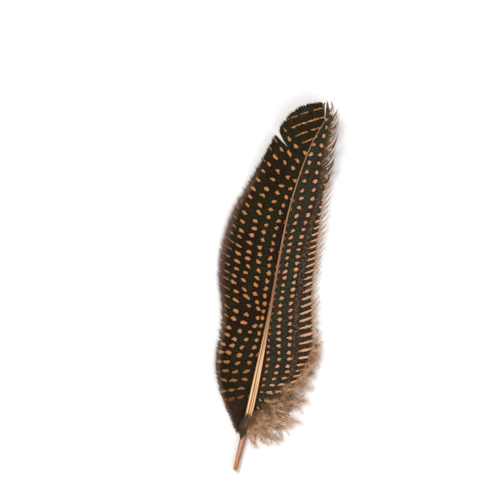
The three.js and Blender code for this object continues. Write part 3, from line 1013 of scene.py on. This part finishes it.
DOWNY_ROOTS, FADED_ROOTS, FADED_RIM = (27.0, 38.0), (28.0, 38.0), (40.0, 54.0)
PEPPER_AT, PEPPER_HALF = 3.0, 0.62  # the middle and half width of the speckled band, in columns


def vane_finish(name, side, look):
    finish = Finish(name, IOR=1.45, Specular_IOR_Level=0.12)
    root, out, along, barb = (finish.read(n) for n in ("root", "out", "along", "barb"))
    at = spots_of(finish, side, look["sizes"])
    strands = finish.dice(finish.vector((barb + 0.5).floor(), side * 3.0, 8.0))
    at["downy"] = (1 - root.ramp(*DOWNY_ROOTS)) * along.ramp(0.2, 0.6) * look["downy"]
    if side > 0:
        at["peppered"] = 1 - ((at["column"] - PEPPER_AT) / PEPPER_HALF).size().ramp(0.5, 1.0)
        faint = 0.0
    else:
        at["peppered"] = at["streak"] * 0.3
        low_rim = (1 - root.ramp(*FADED_RIM)) * at["column"].ramp(2.4, 3.4)
        faint = (low_rim * 0.35).larger(1 - root.ramp(*FADED_ROOTS))
    shown = (1 - at["peppered"]) * (1 - at["downy"] * 0.9) * (1 - faint)
    at["mark"] = (1 - at["away"].ramp(0.76, 1.1)) * shown
    at["ring"] = at["away"].ramp(0.95, 1.1) * (1 - at["away"].ramp(1.2, 2.0)) * shown
    colour = ground_of(finish, side, look, at, strands[0], strands[1])
    colour = finish.mix(at["mark"], colour, paint_of(finish, side, look, at, strands[2]))
    colour = edges_of(finish, side, colour, at, strands)
    grain = finish.noise(finish.vector(root * 3.0, out * 8.0, barb), 1.0, 2.0)
    relief = {"Strength": 0.25, "Distance": GRAIN_DEPTH, "Height": grain}
    bump = finish.node("ShaderNodeBump", None, relief)
    return finish.feed(Base_Color=colour, Roughness=0.52 + 0.25 * grain, Normal=bump)


right_vane.data.materials.append(vane_finish("spotted vane right", 1, RIGHT_LOOK))
left_vane.data.materials.append(vane_finish("spotted vane left", -1, LEFT_LOOK))

# %% [markdown]
# Down took the dye all over. Seen together its hairs are dark brown near the feather and sandy at
# their ends, and they hang together in clumps of one colour. So each hair has a tint of its own,
# and a soft noise in space says where the pale clumps are. Real glow through such thin hairs
# would cost render time, and pale colours give the same look.

# %% Down finish
DARK_HAIRS = (rgb(0.08, 0.042, 0.02), rgb(0.3, 0.15, 0.07))
PALE_HAIRS = (rgb(0.98, 0.49, 0.22), rgb(1.0, 0.75, 0.48))
CLUMPS = 420.0  # noise cells to a metre
down_finish = Finish("brown down", Roughness=0.75, Specular_IOR_Level=0.2)
tint, outer = down_finish.read("tint"), down_finish.read("outer")
where = down_finish.node("ShaderNodeNewGeometry", None, None, "Position")
clump = down_finish.noise(where, CLUMPS, 1.0).ramp(0.4, 0.62)
dark, pale = (down_finish.mix(tint, *pair) for pair in (DARK_HAIRS, PALE_HAIRS))
down_finish.feed(Base_Color=down_finish.mix(outer.ramp(0.08, 0.65) * (0.55 + 0.45 * clump), dark, pale))
for piece in down_pieces:
    piece.data.materials.append(down_finish.material)

# %% [markdown]
# The point over the quill is the darkest green of the whole feather, with a few barbs that took
# the dye. A random number for each barb is all it needs.

# %% Collar finish
collar_finish = Finish("dark foot barbs", Specular_IOR_Level=0.25)
strand, strand_2, _ = collar_finish.dice(collar_finish.vector(collar_finish.read("barb"), 2.0, 5.0))
OLIVE, PALE_OLIVE, DYED = rgb(0.035, 0.028, 0.014), rgb(0.09, 0.06, 0.03), rgb(0.3, 0.14, 0.05)
olive = collar_finish.layers(OLIVE, (strand * 0.8, PALE_OLIVE), (strand_2.ramp(0.75, 0.95) * 0.6, DYED))
collar_finish.feed(Base_Color=olive, Roughness=0.5 + 0.2 * strand)
collar.data.materials.append(collar_finish.material)

# %% [markdown]
# Horn is see-through to a small depth: the quill glows orange where it is thin. The beam between
# the vanes is filled with white pith, so it is cream, with brown lines along its groove and dyed
# orange edges. Towards the tip the pith ends and the beam turns brown.

# %% The beam between the vanes
LINES = [(-0.22, 0.22, 1.0), (0.36, 0.16, 0.75)]  # where across the shaft, half width, strength
LINE_BROWN, EDGE_ORANGE = rgb(0.2, 0.085, 0.03), rgb(0.4, 0.13, 0.03)
PITH_ENDS, LINES_END, EDGES_WIDEN = (48.0, 80.0), (85.0, 110.0), (55.0, 75.0)
horn = Finish("quill horn", Subsurface_Weight=0.25, Subsurface_Radius=(0.0012, 0.0006, 0.0003),
              Subsurface_Scale=1.0, IOR=1.54, Coat_Roughness=0.2)
root, across, over, inside = (horn.read(n) for n in ("root", "across", "over", "inside"))
grain = horn.noise(horn.vector(across * 2.2, root * 0.04, over * 2.0), 1.0, 3.0)
speck = horn.noise(horn.vector(across * 3.0, root * 0.9, over * 3.0), 1.0, 2.0)
drift = (horn.noise(horn.vector(root * 0.07, 3.0), 1.0) - 0.5) * 0.3
cream = horn.mix(grain.ramp(0.4, 0.65), rgb(0.94, 0.63, 0.33), rgb(0.7, 0.38, 0.16))
off_middle = (across + 0.1 + drift).size()
thin = horn.mix(off_middle.ramp(0.05, 0.5), rgb(0.52, 0.31, 0.14), rgb(0.08, 0.035, 0.012))
lines = 0.0
for place_across, half, strength in LINES:
    faded = horn.noise(horn.vector(root * 0.05, place_across * 9.0), 1.0).ramp(0.3, 0.55, 0.5, 1.0)
    line = 1 - (across - place_across + drift).size().ramp(half * 0.4, half * 1.5)
    lines = (line * faded * strength).larger(lines)
lines = lines * over.ramp(0.0, 0.4) * (1 - root.ramp(*LINES_END))
edging = (across.size() + root.ramp(*EDGES_WIDEN) * 0.14).ramp(0.7, 0.92)
beam = horn.layers(cream, (root.ramp(*PITH_ENDS), thin), (lines, LINE_BROWN), (edging * 0.85, EDGE_ORANGE))

# %% [markdown]
# The quill is the same horn without pith: brown, with one pale streak of painted highlight where
# the light runs down its round back, a painted shade down its right side, bright orange at the
# cut, and dark in its hollow. Where the vanes begin, a little red tissue is left.

# %% The quill, and the whole shaft
RELIEF_DEPTH = 0.0001  # in metres
QUILL, QUILL_PALE, QUILL_SHADED_SIDE = rgb(0.3, 0.11, 0.035), rgb(0.46, 0.2, 0.08), rgb(0.2, 0.075, 0.025)
GLEAM, CUT, HOLLOW = rgb(0.74, 0.42, 0.23), rgb(0.5, 0.135, 0.012), rgb(0.3, 0.08, 0.015)
TISSUE = rgb(0.5, 0.11, 0.02)
CUT_ENDS, BEAM_STARTS, TISSUE_STARTS, TISSUE_ENDS = (0.5, 6.0), (22.5, 26.0), (22.0, 24.0), (25.0, 27.5)
pale = (1 - (across + 0.3 + drift).size().ramp(0.12, 0.5)) * speck.ramp(0.35, 0.6, 0.35, 1.0)
tissue = root.ramp(*TISSUE_STARTS) * (1 - root.ramp(*TISSUE_ENDS)) * speck.ramp(0.42, 0.55)
# painted shade darkens the quill's right side, and the pale streak on its left is a painted highlight
colour = horn.layers(
    QUILL, (grain.ramp(0.35, 0.65), QUILL_PALE), (across.ramp(0.2, 0.9) * 0.5, QUILL_SHADED_SIDE),
    (pale * 0.75, GLEAM), (1 - root.ramp(*CUT_ENDS), CUT), (inside * 0.7, HOLLOW),
    (root.ramp(*BEAM_STARTS), beam), (tissue * 0.85, TISSUE))
height = grain + lines * -1.0
relief = horn.node("ShaderNodeBump", None, {"Strength": 0.3, "Distance": RELIEF_DEPTH, "Height": height})
horn.feed(Base_Color=colour, Roughness=0.32 + 0.2 * speck, Normal=relief, Coat_Weight=0.12 + 0.1 * grain)
shaft.data.materials.append(horn.material)

# %% [markdown]
# A feather grew as one piece, so every mesh here moves with the same body and stands in for the
# same solid. The slots group them by what they are made of.

# %% What each piece stands for
slots = {"shaft": [shaft], "vane": [left_vane, right_vane, collar], "down": down_pieces}
for slot, pieces in slots.items():
    for piece in pieces:
        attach(piece, "root")
        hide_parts("feather")
    print(slot, "holds", len(pieces), "pieces")

# %% [markdown]
# The feather is looked at from straight above, as it lies in the photograph, turned a little to
# the right. The camera is placed by the photograph's own scale: its frame is 500 pixels wide, and
# the cut end of the quill has to land on the pixel where it is there.

# %% Camera
MM_PER_PIXEL = 0.444
FRAME_PIXELS = 500
QUILL_END_PIXEL = (235.2, 469)
TURN = math.radians(14)
LENS, SENSOR = 85, 36
pixels = ((FRAME_PIXELS / 2 - QUILL_END_PIXEL[0]), (QUILL_END_PIXEL[1] - FRAME_PIXELS / 2))
from_quill = Vector(pixels) * MM_PER_PIXEL
aim = Matrix.Rotation(TURN, 2) @ from_quill - Vector(MIDDLE)
camera_data = bpy.data.cameras.new("camera")
camera_data.lens, camera_data.sensor_width = LENS, SENSOR
camera = bpy.data.objects.new("camera", camera_data)
camera.location = (aim.x * MM, aim.y * MM, FRAME_PIXELS * MM_PER_PIXEL * MM * LENS / SENSOR)
camera.rotation_euler = (0, 0, TURN)
bpy.context.scene.collection.objects.link(camera)
bpy.context.scene.camera = camera
print("the camera hangs", round(camera.location.z / MM), "mm over the table")

# %% [markdown]
# The light is soft and comes from the upper left, with a weaker, cooler one across from it to
# open the shadows. The table is as pale as the photograph's ground.

# %% Light and table
KEY = {"place": (-0.7, 0.6, 1.3), "size": 0.6, "watts": 18, "tint": (1.0, 0.98, 0.95)}
FILL = {"place": (0.9, -0.7, 1.2), "size": 1.0, "watts": 8, "tint": (0.95, 0.97, 1.0)}
SKY = 0.5
TABLE_HALF = 2  # metres


def soft_light(name, place, size, watts, tint):
    lamp = bpy.data.lights.new(name, "AREA")
    lamp.size, lamp.energy, lamp.color = size, watts, tint
    light = bpy.data.objects.new(name, lamp)
    light.location = place
    light.rotation_euler = (-Vector(place)).to_track_quat("-Z", "Y").to_euler()
    bpy.context.scene.collection.objects.link(light)


soft_light("key", **KEY)
soft_light("fill", **FILL)
world = bpy.data.worlds.new("studio")
world.use_nodes = True
world.node_tree.nodes["Background"].inputs["Color"].default_value = (1, 1, 1, 1)
world.node_tree.nodes["Background"].inputs["Strength"].default_value = SKY
bpy.context.scene.world = world
bpy.context.scene.view_settings.view_transform = "Standard"
table_mesh = bpy.data.meshes.new("table")
corners = [(x * TABLE_HALF, y * TABLE_HALF, 0) for x, y in ((-1, -1), (1, -1), (1, 1), (-1, 1))]
table_mesh.from_pydata(corners, [], [(0, 1, 2, 3)])
table = bpy.data.objects.new("table", table_mesh)
bpy.context.scene.collection.objects.link(table)
table_finish = Finish("pale table", Roughness=0.85, Specular_IOR_Level=0.2)
weave = table_finish.noise(table_finish.node("ShaderNodeNewGeometry", None, None, "Position"), 900.0, 3.0)
table_finish.feed(Base_Color=table_finish.mix(weave, rgb(0.86, 0.86, 0.86), rgb(0.9, 0.9, 0.9)))
table_mesh.materials.append(table_finish.material)
